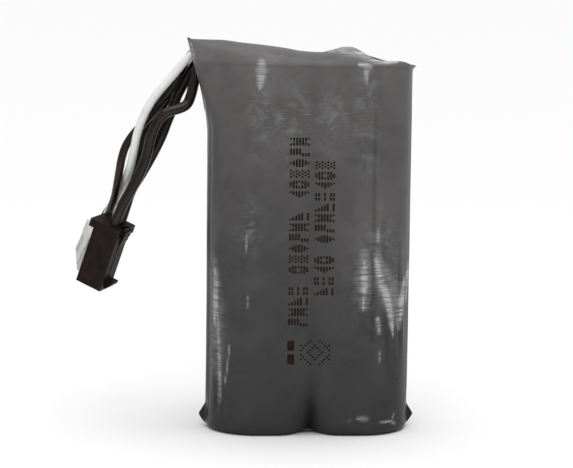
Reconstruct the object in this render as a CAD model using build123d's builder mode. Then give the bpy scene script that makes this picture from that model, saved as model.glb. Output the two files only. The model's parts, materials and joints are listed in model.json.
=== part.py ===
"""Two-cell lithium-ion battery pack: cells side by side, protection board on top, one shrink film
around them, and five leads that leave the film's mouth for a latched discharge plug and a small
balance plug. Millimetres. X runs across the two cells, -Y is the printed front, +Z is up."""

from build123d import *
import math
import os

os.makedirs("parts", exist_ok=True)

# ---- driving dimensions -------------------------------------------------------------------
CELL_R = 9.05            # steel can
CELL_H = 65.0            # can base to top of the positive button
CELL_PITCH = 18.4        # axis to axis
CELL_Z = 1.0             # underside of both cells
SLEEVE_R = 9.15          # printed sleeve on each can
FILM_R = 9.4             # outside of the shrink film round each cell
FILM_T = 0.2
RIM_Z = 67.6             # where the film's walls end and its mouth begins
STRIP_T = 0.15           # nickel strips
PAD_Z = 66.2             # foam board pad, underside
PAD_T = 0.8
PAD_R = 8.0
BOARD_X = (-16.0, 10.3)
BOARD_W = 11.0
BOARD_T = 0.6
THICK_LEAD_D = 1.9
THIN_LEAD_D = 1.5

CELL_TOP = CELL_Z + CELL_H
BOARD_Z = PAD_Z + PAD_T
BOARD_TOP = BOARD_Z + BOARD_T
HALF_PITCH = CELL_PITCH / 2


def save(builder, name):
    """Label one finished piece and write it."""
    builder.part.label = name
    export_step(builder.part, f"parts/{name}.step")


def stadium(radius):
    """The outline round both cells, at one radius from their axes."""
    SlotCenterToCenter(CELL_PITCH, 2 * radius)


# ---- the two cells ------------------------------------------------------------------------
# The left cell stands positive end up and the right one positive end down, so that one strip
# across the bottom puts them in series. Each outline below is (radius, height) from the base.
CAN = [
    (0, 0), (8.75, 0), (CELL_R, 0.3), (CELL_R, 60.7), (8.15, 61.3), (8.15, 61.6),
    (CELL_R, 62.2), (CELL_R, 64.1), (8.85, 64.3), (7.3, 64.3), (7.3, 64.05), (8.8, 64.05),
    (8.8, 62.35), (7.9, 61.7), (7.9, 61.2), (8.8, 60.6), (8.8, 0.45), (8.65, 0.3), (0, 0.3),
]
GASKET = [
    (7.2, 62.4), (8.75, 62.4), (8.75, 64.0), (7.5, 64.0), (7.5, 63.75), (8.45, 63.75),
    (8.45, 62.7), (7.2, 62.7),
]
VENT_DISC = [(0, 62.95), (3.0, 62.95), (3.6, 62.75), (8.4, 62.75), (8.4, 63.15), (0, 63.15)]
CAP = [
    (3.4, 63.2), (8.4, 63.2), (8.4, 63.7), (4.0, 63.7), (3.8, 64.9), (3.7, 65.0), (0, 65.0),
    (0, 64.6), (3.3, 64.6),
]
ROLL = [(1.5, 0.8), (8.6, 0.8), (8.6, 60.2), (1.5, 60.2)]
SLEEVE = [
    (CELL_R + 0.01, 0.1), (SLEEVE_R, 0.1), (SLEEVE_R, 64.4), (7.9, 64.4), (7.9, 64.32),
    (CELL_R + 0.01, 64.32),
]
TOP_RING = [(4.6, 64.42), (8.6, 64.42), (8.6, 64.62), (4.6, 64.62)]

CELL_PIECES = {
    "can": CAN, "gasket": GASKET, "vent_disc": VENT_DISC, "cap": CAP, "roll": ROLL,
    "sleeve": SLEEVE, "top_ring": TOP_RING,
}
CELL_PLANES = {
    "left": Plane(origin=(-HALF_PITCH, 0, CELL_Z), x_dir=(1, 0, 0), z_dir=(0, 0, 1)),
    "right": Plane(origin=(HALF_PITCH, 0, CELL_TOP), x_dir=(1, 0, 0), z_dir=(0, 0, -1)),
}
VENT_HOLE_R = 0.5

for side, base in CELL_PLANES.items():
    profile_plane = Plane(origin=base.origin, x_dir=base.x_dir, z_dir=-base.y_dir)
    for piece, outline in CELL_PIECES.items():
        with BuildPart() as turned:
            with BuildSketch(profile_plane):
                with BuildLine():
                    Polyline(*outline, close=True)
                make_face()
            revolve(axis=Axis(base.origin, base.z_dir))
            if piece == "cap":
                with BuildSketch(base.offset(CELL_H - 0.4)):
                    with PolarLocations(2.4, 3):
                        Circle(VENT_HOLE_R)
                extrude(amount=1.0, mode=Mode.SUBTRACT)
        save(turned, f"{side}_{piece}")

# ---- nickel strips ------------------------------------------------------------------------
SERIES_L = 26.0
STRIP_W = 7.0
TAP_Y = 7.2              # the centre-tap lead climbs the valley behind the cells

with BuildPart() as series_strip:
    with BuildSketch(Plane.XY.offset(CELL_Z - STRIP_T)):
        RectangleRounded(SERIES_L, STRIP_W, 0.8)
        with Locations((0, 5.5)):
            Rectangle(3.0, 5.0)
    extrude(amount=STRIP_T)
save(series_strip, "series_strip")

RISER_TOP = BOARD_TOP + 0.02
STRIP_RISERS = {"positive_strip": -5.0, "negative_strip": 5.0}
for name, riser_x in STRIP_RISERS.items():
    cell_x = math.copysign(HALF_PITCH, riser_x)
    outer_x = cell_x + math.copysign(2.5, cell_x)
    flat_length = abs(outer_x - riser_x)
    with BuildPart() as strip:
        with Locations(((outer_x + riser_x) / 2, 0, CELL_TOP + STRIP_T / 2)):
            Box(flat_length, 5.0, STRIP_T)
        with Locations((riser_x, 0, (CELL_TOP + RISER_TOP + STRIP_T) / 2)):
            Box(STRIP_T, 4.0, RISER_TOP + STRIP_T - CELL_TOP)
        with Locations((riser_x + math.copysign(1.0, -riser_x), 0, RISER_TOP + STRIP_T / 2)):
            Box(2.0 + STRIP_T, 4.0, STRIP_T)
    save(strip, name)

# ---- insulators and the pad that carries the board ----------------------------------------
with BuildPart() as bottom_insulator:
    with BuildSketch(Plane.XY.offset(0.3)):
        with Locations((-HALF_PITCH, 0), (HALF_PITCH, 0)):
            Circle(SLEEVE_R - 0.75)
        Rectangle(CELL_PITCH, 10.0)
    extrude(amount=0.5)
save(bottom_insulator, "bottom_insulator")

STRIP_SLOT = (0.6, 4.6)
with BuildPart() as board_pad:
    with BuildSketch(Plane.XY.offset(PAD_Z)):
        stadium(PAD_R)
        with Locations([(x, 0) for x in STRIP_RISERS.values()]):
            Rectangle(*STRIP_SLOT, mode=Mode.SUBTRACT)
        with Locations((0, TAP_Y + 0.6)):
            Rectangle(1.8, 3.2, mode=Mode.SUBTRACT)
    extrude(amount=PAD_T)
save(board_pad, "board_pad")

# ---- protection board and what is soldered to it ------------------------------------------
BOARD_MID_X = sum(BOARD_X) / 2
BOARD_L = BOARD_X[1] - BOARD_X[0]
with BuildPart() as board:
    with BuildSketch(Plane.XY.offset(BOARD_Z)):
        with Locations((BOARD_MID_X, 0)):
            RectangleRounded(BOARD_L, BOARD_W, 0.6)
        with Locations([(x, 0) for x in STRIP_RISERS.values()]):
            Rectangle(*STRIP_SLOT, mode=Mode.SUBTRACT)
    extrude(amount=BOARD_T)
save(board, "board")

CHIP_LIFT = 0.08
MOSFETS = [(7.5, 2.4), (7.5, -2.4)]
with BuildPart() as mosfets:
    with Locations([(x, y, BOARD_TOP + CHIP_LIFT + 0.4) for x, y in MOSFETS]):
        Box(4.4, 3.0, 0.8)
    chamfer(mosfets.edges().filter_by(Axis.Z, reverse=True).group_by(Axis.Z)[-1], 0.15)
save(mosfets, "mosfets")

with BuildPart() as mosfet_legs:
    for x, y in MOSFETS:
        for side_y in (-1, 1):
            with Locations((x, y + side_y * 1.78, BOARD_TOP + 0.15)):
                with GridLocations(1.27, 1, 3, 1):
                    Box(0.4, 0.5, 0.28)
save(mosfet_legs, "mosfet_legs")

with BuildPart() as protection_ic:
    with Locations((0.6, 0, BOARD_TOP + CHIP_LIFT + 0.4)):
        Box(3.0, 3.0, 0.8)
    chamfer(protection_ic.edges().filter_by(Axis.Z, reverse=True).group_by(Axis.Z)[-1], 0.15)
save(protection_ic, "protection_ic")

with BuildPart() as ic_legs:
    for side_y in (-1, 1):
        with Locations((0.6, side_y * 1.85, BOARD_TOP + 0.15)):
            with GridLocations(0.65, 1, 4, 1):
                Box(0.3, 0.6, 0.28)
save(ic_legs, "ic_legs")

RESISTORS = [(-6.9, 3.8), (-6.9, 2.2), (-6.9, -2.2), (-6.9, -3.8), (-1.9, 3.8), (-1.9, -3.8)]
with BuildPart() as resistors:
    with Locations([(x, y, BOARD_TOP + 0.25) for x, y in RESISTORS]):
        Box(1.6, 0.8, 0.45)
save(resistors, "resistors")

CAPACITORS = [(-1.95, 2.6), (-1.95, -2.6), (3.4, 4.0), (3.4, -4.0)]
with BuildPart() as capacitors:
    with Locations([(x, y, BOARD_TOP + 0.4) for x, y in CAPACITORS]):
        Box(1.6, 0.8, 0.75)
save(capacitors, "capacitors")

# Folded insulating card over the parts on the board, open at the lead end.
COVER_X = (-8.6, 10.0)
COVER_TOP = BOARD_TOP + 1.1
with BuildPart() as board_cover:
    with BuildSketch(Plane.YZ.offset(COVER_X[0])):
        with Locations((0, (COVER_TOP + BOARD_Z) / 2)):
            Rectangle(BOARD_W + 0.5, COVER_TOP - BOARD_Z - 0.04)
        with Locations((0, (COVER_TOP + BOARD_Z) / 2 - 0.14)):
            Rectangle(BOARD_W + 0.2, COVER_TOP - BOARD_Z, mode=Mode.SUBTRACT)
    extrude(amount=COVER_X[1] - COVER_X[0])
    with Locations((0.0, TAP_Y - 1.8, BOARD_TOP + 0.5)):
        Box(2.4, 2.4, 1.4, mode=Mode.SUBTRACT)
save(board_cover, "board_cover")

# ---- hot-melt beads that hold the cells together ------------------------------------------
GLUE_R = 0.85
with BuildPart() as glue_beads:
    for y, z in ((-4.3, 14.0), (-4.3, 40.0), (4.3, 28.0)):
        with Locations((0, y, z)):
            Cylinder(GLUE_R, 14.0)
    fillet(glue_beads.edges().filter_by(GeomType.CIRCLE), 0.4)
save(glue_beads, "glue_beads")

# ---- shrink film --------------------------------------------------------------------------
# Wall, a lip folded under the base with one opening below each cell, a mouth that leans in
# above the rim, a flap that flares out at the left, and small creased ears.
MOUTH = [(RIM_Z, FILM_R, CELL_PITCH, 0.0), (69.7, 7.0, 20.2, 0.3), (70.8, 3.6, 22.0, 0.6)]
MOUTH_MID_X = -1.2
FLAP = [
    (-18.4, 55.0), (-18.62, 55.4), (-19.42, 60.6), (-20.62, 65.5), (-21.9, 69.0), (-22.4, 71.5),
    (-17.4, 71.1), (-17.4, 69.6), (-18.4, 67.4),
]
FLAP_Y = -1.35
BASE_FILLET = 1.3


def mouth_sections(inset):
    """Stadium sections of the leaning mouth, drawn in by one wall thickness for its inside."""
    sections = []
    for index, (z, radius, pitch, shift) in enumerate(MOUTH):
        middle = MOUTH_MID_X * index / 2
        with BuildSketch(Plane.XY.offset(z)) as section:
            with Locations((middle, shift)):
                SlotCenterToCenter(pitch, 2 * (radius - inset))
        sections.append(section.sketch)
    return sections


def filled_film(inset):
    """Everything inside the film's surface, drawn in by one wall thickness for its inside."""
    with BuildPart() as filled:
        with BuildSketch(Plane.XY.offset(inset)):
            stadium(FILM_R - inset)
        extrude(amount=RIM_Z - inset)
        fillet(filled.edges().group_by(Axis.Z)[0], BASE_FILLET - inset)
        loft(mouth_sections(inset), ruled=True)
    return filled.part


with BuildPart() as film_wrap:
    add(filled_film(0.0))
    add(filled_film(FILM_T), mode=Mode.SUBTRACT)
    with BuildSketch(Plane.XY.offset(MOUTH[-1][0] - 0.1)):
        with Locations((MOUTH_MID_X, MOUTH[-1][3])):
            SlotCenterToCenter(MOUTH[-1][2], 2 * (MOUTH[-1][1] - FILM_T))
    extrude(amount=0.2, mode=Mode.SUBTRACT)
    with BuildSketch():
        with Locations((-8.6, 0), (8.6, 0)):
            Ellipse(6.2, 5.2)
    extrude(amount=FILM_T, mode=Mode.SUBTRACT)
    # the leads leave behind the flap, over the left shoulder
    with Locations((-17.0, 2.3, 69.4)):
        Box(7.0, 7.3, 4.6, mode=Mode.SUBTRACT)
    with BuildSketch(Plane.XZ.offset(-FLAP_Y)):
        with BuildLine():
            Polyline(*FLAP, close=True)
        make_face()
    extrude(amount=0.3)
    for sign in (-1, 1):
        with BuildSketch(Plane.XZ.offset(-0.2)):
            with BuildLine():
                Polyline(
                    (sign * 18.45, 0.5), (sign * 18.9, 0.9), (sign * 19.75, 2.3),
                    (sign * 18.7, 4.4), (sign * 18.45, 4.4), close=True,
                )
            make_face()
        extrude(amount=0.4)
save(film_wrap, "film_wrap")

# ---- discharge plug -----------------------------------------------------------------------
# Its own axes: x is out through the latch, y along the two ways, z from the mating face to the
# leads. The origin is on the mating face, level with the latch's outer side.
PLUG = Plane(origin=(-36.6, 1.47, 25.43), x_dir=(0.843, -0.401, -0.36), z_dir=(0.301, -0.204, 0.932))
PLUG_L = 12.2
PLUG_W = 6.66
BODY_X = (-5.16, -0.95)
COLLAR_X = -6.2
CHEEK_X = -0.2
RIB_X = -0.05
COLLAR_Z = 10.7
WAY_PITCH = 2.5
WAY_X = -2.3
POCKET_Z = 10.6
LATCH_Y = -0.33
LATCH_W = 2.4
PIVOT_Z = 6.3
PIVOT_X = -0.74


def plug_box(plug, x_range, y_range, z_range, mode=Mode.ADD):
    """A block given by its two limits along each of a plug's own axes."""
    middle = [(low + high) / 2 for low, high in (x_range, y_range, z_range)]
    sizes = [high - low for low, high in (x_range, y_range, z_range)]
    with Locations(plug.location * Location(middle)):
        Box(*sizes, mode=mode)


HALF_W = PLUG_W / 2
WAYS = (-WAY_PITCH / 2, WAY_PITCH / 2)
with BuildPart() as discharge_housing:
    plug_box(PLUG, BODY_X, (-HALF_W, HALF_W), (0, PLUG_L))
    plug_box(PLUG, (COLLAR_X, BODY_X[1]), (-HALF_W, HALF_W), (COLLAR_Z, PLUG_L))
    for low, high in ((-HALF_W, LATCH_Y - 1.4), (LATCH_Y + 1.4, HALF_W)):
        plug_box(PLUG, (BODY_X[1], CHEEK_X), (low, high), (COLLAR_Z, PLUG_L))
    # polarising rib along the front edge, level with the latch
    plug_box(PLUG, (BODY_X[1], RIB_X), (-HALF_W, LATCH_Y - 1.4), (0, COLLAR_Z))
    for y in WAYS:
        plug_box(PLUG, (WAY_X - 0.7, WAY_X + 0.7), (y - 0.95, y + 0.95), (0, POCKET_Z), Mode.SUBTRACT)
    with BuildSketch(PLUG.offset(POCKET_Z)):
        with Locations(*[(WAY_X, y) for y in WAYS]):
            Circle(THICK_LEAD_D / 2 + 0.03)
    extrude(amount=PLUG_L - POCKET_Z, mode=Mode.SUBTRACT)
    # web that the latch rocks on, its top rounded about the pivot line
    plug_box(PLUG, (BODY_X[1], PIVOT_X), (LATCH_Y - 1.2, LATCH_Y + 1.2), (PIVOT_Z - 0.2, PIVOT_Z + 0.2))
    with BuildSketch(Plane(PLUG.from_local_coords((PIVOT_X, LATCH_Y - 1.2, PIVOT_Z)), x_dir=PLUG.x_dir,
                           z_dir=PLUG.y_dir)):
        Circle(0.2)
    extrude(amount=2.4)
save(discharge_housing, "discharge_housing")

LATCH_OUTLINE = [
    (-0.5, 0.2), (-0.5, 12.1), (0.3, 12.2), (0.65, 11.9), (0.45, 11.4), (0.5, 11.0), (0.3, 10.5),
    (0.3, 10.1), (0.1, 9.4), (0.0, 8.4), (0.0, 2.0), (1.1, 2.0), (1.1, 1.5), (0.0, 0.1), (-0.3, 0.0),
]
with BuildPart() as plug_latch:
    with BuildSketch(Plane(PLUG.from_local_coords((0, LATCH_Y + LATCH_W / 2, 0)), x_dir=PLUG.x_dir,
                           z_dir=-PLUG.y_dir)):
        with BuildLine():
            Polyline(*LATCH_OUTLINE, close=True)
        make_face()
    extrude(amount=LATCH_W)
save(plug_latch, "plug_latch")

with BuildPart() as discharge_contacts:
    for y in WAYS:
        plug_box(PLUG, (WAY_X - 0.6, WAY_X + 0.6), (y - 0.85, y + 0.85), (0.6, 7.4))
        plug_box(PLUG, (WAY_X - 0.3, WAY_X + 0.3), (y - 0.55, y + 0.55), (0.6, 5.6), Mode.SUBTRACT)
        plug_box(PLUG, (WAY_X - 0.5, WAY_X + 0.5), (y - 0.5, y + 0.5), (7.4, POCKET_Z - 0.1))
save(discharge_contacts, "discharge_contacts")

# ---- balance plug -------------------------------------------------------------------------
# Own axes: x along its three ways, y through its thickness, z towards the leads; origin at the
# middle of the mating face.
BALANCE = Plane(origin=(-41.0, 12.85, 28.3), x_dir=(0.055, -0.946, -0.318), z_dir=(0.373, -0.276, 0.886))
BALANCE_SIZE = (7.9, 4.5, 7.0)
BALANCE_PITCH = 2.0
BALANCE_WAYS = (-BALANCE_PITCH, 0.0, BALANCE_PITCH)
BALANCE_POCKET_Z = 5.6

half_x, half_y = BALANCE_SIZE[0] / 2, BALANCE_SIZE[1] / 2
with BuildPart() as balance_housing:
    plug_box(BALANCE, (-half_x, half_x), (-half_y + 0.4, half_y - 0.3), (0, BALANCE_SIZE[2]))
    plug_box(BALANCE, (-half_x, half_x), (-half_y, half_y), (4.6, BALANCE_SIZE[2]))
    for x in (-2.9, 2.9):
        plug_box(BALANCE, (x - 0.35, x + 0.35), (-half_y, -half_y + 0.4), (0.8, 4.6))
    for x in BALANCE_WAYS:
        plug_box(BALANCE, (x - 0.65, x + 0.65), (-0.8, 0.8), (0, BALANCE_POCKET_Z), Mode.SUBTRACT)
        plug_box(BALANCE, (x - 0.5, x + 0.5), (0.5, half_y), (1.8, 3.9), Mode.SUBTRACT)
    with BuildSketch(BALANCE.offset(BALANCE_POCKET_Z)):
        with Locations(*[(x, 0) for x in BALANCE_WAYS]):
            Circle(THIN_LEAD_D / 2 + 0.03)
    extrude(amount=BALANCE_SIZE[2] - BALANCE_POCKET_Z, mode=Mode.SUBTRACT)
save(balance_housing, "balance_housing")

with BuildPart() as balance_contacts:
    for x in BALANCE_WAYS:
        plug_box(BALANCE, (x - 0.55, x + 0.55), (-0.65, 0.65), (0.5, 4.2))
        plug_box(BALANCE, (x - 0.25, x + 0.25), (-0.35, 0.35), (0.5, 3.6), Mode.SUBTRACT)
        plug_box(BALANCE, (x - 0.4, x + 0.4), (-0.4, 0.4), (4.2, BALANCE_POCKET_Z - 0.1))
save(balance_contacts, "balance_contacts")

# ---- leads --------------------------------------------------------------------------------
LEAD_START_X = -13.0
THICK_Z = BOARD_TOP + THICK_LEAD_D / 2 + 0.05
THIN_Z = BOARD_TOP + THIN_LEAD_D / 2 + 0.05


def plug_entry(plug, x, y, floor_z, rear_z, straight):
    """Last two points of a lead: a straight run into its pocket, down to the pocket's floor."""
    outside = plug.from_local_coords((x, y, rear_z + straight))
    inside = plug.from_local_coords((x, y, floor_z))
    return [tuple(outside), tuple(inside)]


LEADS = {
    "discharge_lead_front": (THICK_LEAD_D, [
        (LEAD_START_X, -3.4, THICK_Z), (-14.7, -2.3, 69.0), (-16.4, -0.8, 69.1), (-18.0, 0.3, 68.8),
        (-19.8, 0.55, 67.7), (-20.6, 0.5, 65.7), (-21.1, 0.3, 63.4), (-21.6, -0.1, 61.2),
        (-22.3, -0.6, 59.4), (-23.9, -1.0, 58.7), (-26.0, -1.2, 58.2), (-27.6, -1.2, 56.8),
        (-28.6, -1.2, 54.6), (-29.2, -1.1, 52.3), (-29.7, -1.1, 49.8), (-30.7, -1.2, 47.2),
        (-32.0, -1.4, 44.7),
    ] + plug_entry(PLUG, WAY_X, WAYS[0], POCKET_Z, PLUG_L, 2.8)),
    "discharge_lead_back": (THICK_LEAD_D, [
        (LEAD_START_X, 1.0, THICK_Z), (-14.8, 1.5, 68.9), (-16.6, 2.1, 69.0), (-18.4, 2.7, 68.6),
        (-20.2, 3.0, 67.4), (-21.6, 3.3, 65.4), (-22.8, 3.2, 63.2), (-24.15, 3.1, 60.8),
        (-24.9, 2.7, 58.5), (-25.9, 2.2, 56.2), (-26.8, 1.8, 53.7), (-28.0, 1.6, 51.2),
        (-29.4, 1.4, 48.6), (-30.9, 1.2, 46.0), (-32.5, 1.1, 43.6),
    ] + plug_entry(PLUG, WAY_X, WAYS[1], POCKET_Z, PLUG_L, 2.4)),
    "balance_lead_light": (THIN_LEAD_D, [
        (LEAD_START_X, -1.1, THIN_Z), (-14.7, -0.2, 69.8), (-16.5, 0.75, 70.35), (-18.5, 1.2, 70.25),
        (-20.6, 1.3, 69.2), (-22.6, 1.0, 67.5), (-24.3, 0.8, 65.4), (-26.1, 0.5, 63.3),
        (-27.8, 0.1, 61.4), (-29.3, -0.2, 59.2), (-30.5, -0.3, 56.7), (-31.4, -0.2, 54.1),
        (-31.9, 0.1, 51.4), (-32.4, 0.8, 48.6), (-33.2, 2.2, 46.0), (-34.2, 4.4, 43.6),
        (-35.4, 6.4, 41.4), (-36.5, 8.6, 39.1),
    ] + plug_entry(BALANCE, BALANCE_WAYS[1], 0, BALANCE_POCKET_Z, BALANCE_SIZE[2], 2.0)),
    "balance_lead_dark": (THIN_LEAD_D, [
        (LEAD_START_X, 3.0, THIN_Z), (-14.7, 3.2, 69.8), (-16.5, 3.4, 70.3), (-18.5, 3.6, 70.2),
        (-20.6, 3.3, 69.4), (-22.4, 2.6, 67.6), (-23.8, 2.2, 64.7), (-25.2, 1.8, 62.1),
        (-27.0, 1.6, 59.9), (-28.7, 1.6, 57.6), (-30.5, 1.7, 55.6), (-32.2, 1.6, 53.7),
        (-33.5, 1.4, 51.7), (-34.2, 1.2, 49.4), (-34.6, 1.4, 46.9), (-35.0, 2.25, 44.4),
        (-35.4, 3.9, 41.9), (-36.3, 5.8, 39.4),
    ] + plug_entry(BALANCE, BALANCE_WAYS[2], 0, BALANCE_POCKET_Z, BALANCE_SIZE[2], 2.0)),
    "balance_lead_hidden": (THIN_LEAD_D, [
        (LEAD_START_X, 4.4, THIN_Z), (-14.8, 4.8, 68.8), (-16.6, 4.9, 69.0), (-18.5, 5.1, 68.4),
        (-20.3, 5.1, 67.2), (-21.8, 5.2, 65.3), (-23.5, 5.1, 63.0), (-25.2, 4.9, 60.7),
        (-27.0, 4.6, 58.4), (-28.7, 4.3, 56.2), (-29.9, 4.2, 53.8), (-30.7, 4.3, 51.2),
        (-31.4, 4.8, 48.6), (-32.3, 5.8, 46.1), (-33.5, 7.3, 43.8), (-34.9, 9.1, 41.4),
        (-36.4, 10.8, 39.2),
    ] + plug_entry(BALANCE, BALANCE_WAYS[0], 0, BALANCE_POCKET_Z, BALANCE_SIZE[2], 2.0)),
}


def corner_radii(points):
    """As large an arc at each corner as the two runs beside it allow."""
    radii = []
    for before, corner, after in zip(points, points[1:], points[2:]):
        run_in = Vector(*corner) - Vector(*before)
        run_out = Vector(*after) - Vector(*corner)
        half_turn = math.radians(run_in.get_angle(run_out)) / 2
        radii.append(0.45 * min(run_in.length, run_out.length) / math.tan(half_turn))
    return radii


for name, (diameter, route) in LEADS.items():
    radii = corner_radii(route)
    with BuildPart() as lead:
        with BuildLine() as centre:
            FilletPolyline(*route, radius=radii)
        start = centre.line ^ 0
        with BuildSketch(Plane(start.position, z_dir=centre.line % 0)):
            Circle(diameter / 2)
        sweep()
    save(lead, name)
    length = centre.wire().length
    expected = math.pi * diameter ** 2 / 4 * length
    print(name, "length", round(length, 1), "tightest radius", round(min(radii), 1),
          "volume / (section x length)", round(lead.part.volume / expected, 4))

# stripped ends, solder and the centre-tap lead that climbs behind the cells
PAD_X = -11.4
CONDUCTOR_R = 0.36
with BuildPart() as lead_conductors:
    for name, (diameter, route) in LEADS.items():
        start = Vector(*route[0])
        pad = Vector(PAD_X, start.Y, BOARD_TOP + 0.4)
        along = (pad - start).normalized()
        with BuildSketch(Plane(start + along * 0.5, z_dir=along)):
            Circle(CONDUCTOR_R)
        extrude(amount=(pad - start).length - 0.5)
save(lead_conductors, "lead_conductors")

TAP_R = 0.55
TAP_TOP = BOARD_TOP + 0.62
with BuildPart() as tap_lead:
    with BuildLine() as centre:
        FilletPolyline((0, TAP_Y, CELL_Z + 0.1), (0, TAP_Y, TAP_TOP), (0, 4.2, TAP_TOP), radius=1.6)
    with BuildSketch(Plane(centre.line @ 0, z_dir=centre.line % 0)):
        Circle(TAP_R)
    sweep()
save(tap_lead, "tap_lead")

BOARD_JOINTS = [(PAD_X, route[0][1], BOARD_TOP, 0.75) for diameter, route in LEADS.values()]
BOARD_JOINTS += [(math.copysign(4.0, x), 0, RISER_TOP + STRIP_T, 0.7) for x in STRIP_RISERS.values()]
BOARD_JOINTS += [(0, 4.2, BOARD_TOP, 0.9), (0, TAP_Y, CELL_Z, 0.9)]
with BuildPart() as solder_joints:
    for x, y, z, radius in BOARD_JOINTS:
        with Locations((x, y, z)):
            Sphere(radius, arc_size1=0, align=(Align.CENTER, Align.CENTER, Align.MIN))
save(solder_joints, "solder_joints")
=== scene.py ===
"""Looks of the two-cell battery pack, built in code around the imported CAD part.

Lengths below are millimetres in the part's own frame: X across the two cells, -Y out of the
printed front, +Z up. MM turns them into Blender's metres."""

import json
import math

import bmesh
import bpy
import numpy as np
from mathutils import Matrix, Vector


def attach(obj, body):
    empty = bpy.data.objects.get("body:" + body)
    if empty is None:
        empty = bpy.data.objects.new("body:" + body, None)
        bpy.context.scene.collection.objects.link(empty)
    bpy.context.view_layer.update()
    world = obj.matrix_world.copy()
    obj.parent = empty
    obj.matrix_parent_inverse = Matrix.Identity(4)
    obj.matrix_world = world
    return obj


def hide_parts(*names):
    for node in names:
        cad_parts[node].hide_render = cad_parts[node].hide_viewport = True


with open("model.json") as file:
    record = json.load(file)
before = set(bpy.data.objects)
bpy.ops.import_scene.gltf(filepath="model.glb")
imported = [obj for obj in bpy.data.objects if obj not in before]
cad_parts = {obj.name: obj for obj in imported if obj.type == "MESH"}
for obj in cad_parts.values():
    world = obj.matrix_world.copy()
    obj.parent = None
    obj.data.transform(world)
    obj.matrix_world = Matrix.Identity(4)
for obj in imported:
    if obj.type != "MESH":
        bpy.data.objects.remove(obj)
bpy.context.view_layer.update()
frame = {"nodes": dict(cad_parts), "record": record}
nodes = frame["nodes"]
scene = bpy.context.scene
scene.view_settings.view_transform = "Standard"

MM = 0.001

# ---- camera --------------------------------------------------------------------------------
AZIMUTH, ELEVATION, ROLL = math.radians(-3.31), math.radians(7.88), math.radians(0.70)
DISTANCE = 450.0
TARGET = Vector((-3.99, 0.0, 35.82))

back = Vector((math.sin(AZIMUTH) * math.cos(ELEVATION),
               -math.cos(AZIMUTH) * math.cos(ELEVATION),
               math.sin(ELEVATION)))
level_right = (-back).cross(Vector((0, 0, 1))).normalized()
level_up = level_right.cross(-back)
right = level_right * math.cos(ROLL) + level_up * math.sin(ROLL)
up = level_up * math.cos(ROLL) - level_right * math.sin(ROLL)
camera_data = bpy.data.cameras.new("camera")
camera_data.lens = 154.4
camera_data.sensor_width = 36.0
camera_data.clip_start, camera_data.clip_end = 0.01, 20.0
camera = bpy.data.objects.new("camera", camera_data)
scene.collection.objects.link(camera)
turned = Matrix((right, up, back)).transposed().to_4x4()
camera.matrix_world = Matrix.Translation((TARGET + back * DISTANCE) * MM) @ turned
scene.camera = camera


# ---- materials -----------------------------------------------------------------------------
class Nodes:
    """A small helper that adds and links the nodes of one material."""

    def __init__(self, name, base, roughness, metallic=0.0, **sockets):
        self.material = bpy.data.materials.new(name)
        self.material.use_nodes = True
        self.tree = self.material.node_tree
        self.shader = self.tree.nodes["Principled BSDF"]
        self.shader.inputs["Base Color"].default_value = (*base, 1)
        self.shader.inputs["Roughness"].default_value = roughness
        self.shader.inputs["Metallic"].default_value = metallic
        for socket, value in sockets.items():
            self.shader.inputs[socket.replace("_", " ")].default_value = value
        coordinates = self.tree.nodes.new("ShaderNodeTexCoord")
        self.place = coordinates.outputs["Object"]

    def link(self, source, target):
        self.tree.links.new(source, target)

    def stretched(self, scale):
        """Object coordinates multiplied axis by axis, so that a pattern runs one way."""
        mapping = self.tree.nodes.new("ShaderNodeMapping")
        mapping.inputs["Scale"].default_value = scale
        self.link(self.place, mapping.inputs["Vector"])
        return mapping.outputs["Vector"]

    def noise(self, scale, detail=3.0, vector=None, distortion=0.0):
        """A noise pattern whose features are about 1 / scale metres across."""
        node = self.tree.nodes.new("ShaderNodeTexNoise")
        node.inputs["Scale"].default_value = scale
        node.inputs["Detail"].default_value = detail
        node.inputs["Distortion"].default_value = distortion
        self.link(vector or self.place, node.inputs["Vector"])
        return node.outputs["Fac"]

    def ramp(self, source, *stops):
        """Colours or grey levels set along a pattern's range."""
        node = self.tree.nodes.new("ShaderNodeValToRGB")
        while len(node.color_ramp.elements) < len(stops):
            node.color_ramp.elements.new(0.5)
        for element, (position, value) in zip(node.color_ramp.elements, stops):
            element.position = position
            colour = value if hasattr(value, "__len__") else (value, value, value)
            element.color = (*colour, 1)
        self.link(source, node.inputs["Fac"])
        return node.outputs["Color"]

    def mix(self, factor, first, second, blend="MIX"):
        """Mixes two colours, each a socket or a plain colour."""
        node = self.tree.nodes.new("ShaderNodeMix")
        node.data_type = "RGBA"
        node.blend_type = blend
        for value, socket in ((factor, node.inputs[0]), (first, node.inputs[6]), (second, node.inputs[7])):
            if isinstance(value, bpy.types.NodeSocket):
                self.link(value, socket)
            elif hasattr(value, "__len__"):
                socket.default_value = (*value, 1)
            else:
                socket.default_value = value
        return node.outputs[2]

    def maths(self, operation, first, second=0.0):
        node = self.tree.nodes.new("ShaderNodeMath")
        node.operation = operation
        for value, socket in ((first, node.inputs[0]), (second, node.inputs[1])):
            if isinstance(value, bpy.types.NodeSocket):
                self.link(value, socket)
            else:
                socket.default_value = value
        return node.outputs["Value"]

    def attribute(self, name):
        node = self.tree.nodes.new("ShaderNodeAttribute")
        node.attribute_name = name
        return node.outputs["Fac"]

    def attribute_colour(self, name):
        node = self.tree.nodes.new("ShaderNodeAttribute")
        node.attribute_name = name
        return node.outputs["Color"]

    def bump(self, height, strength, distance, normal=None):
        """Bump whose depth is distance, in metres."""
        node = self.tree.nodes.new("ShaderNodeBump")
        node.inputs["Strength"].default_value = strength
        node.inputs["Distance"].default_value = distance
        self.link(height, node.inputs["Height"])
        if normal is not None:
            self.link(normal, node.inputs["Normal"])
        self.link(node.outputs["Normal"], self.shader.inputs["Normal"])
        return node.outputs["Normal"]


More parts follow.
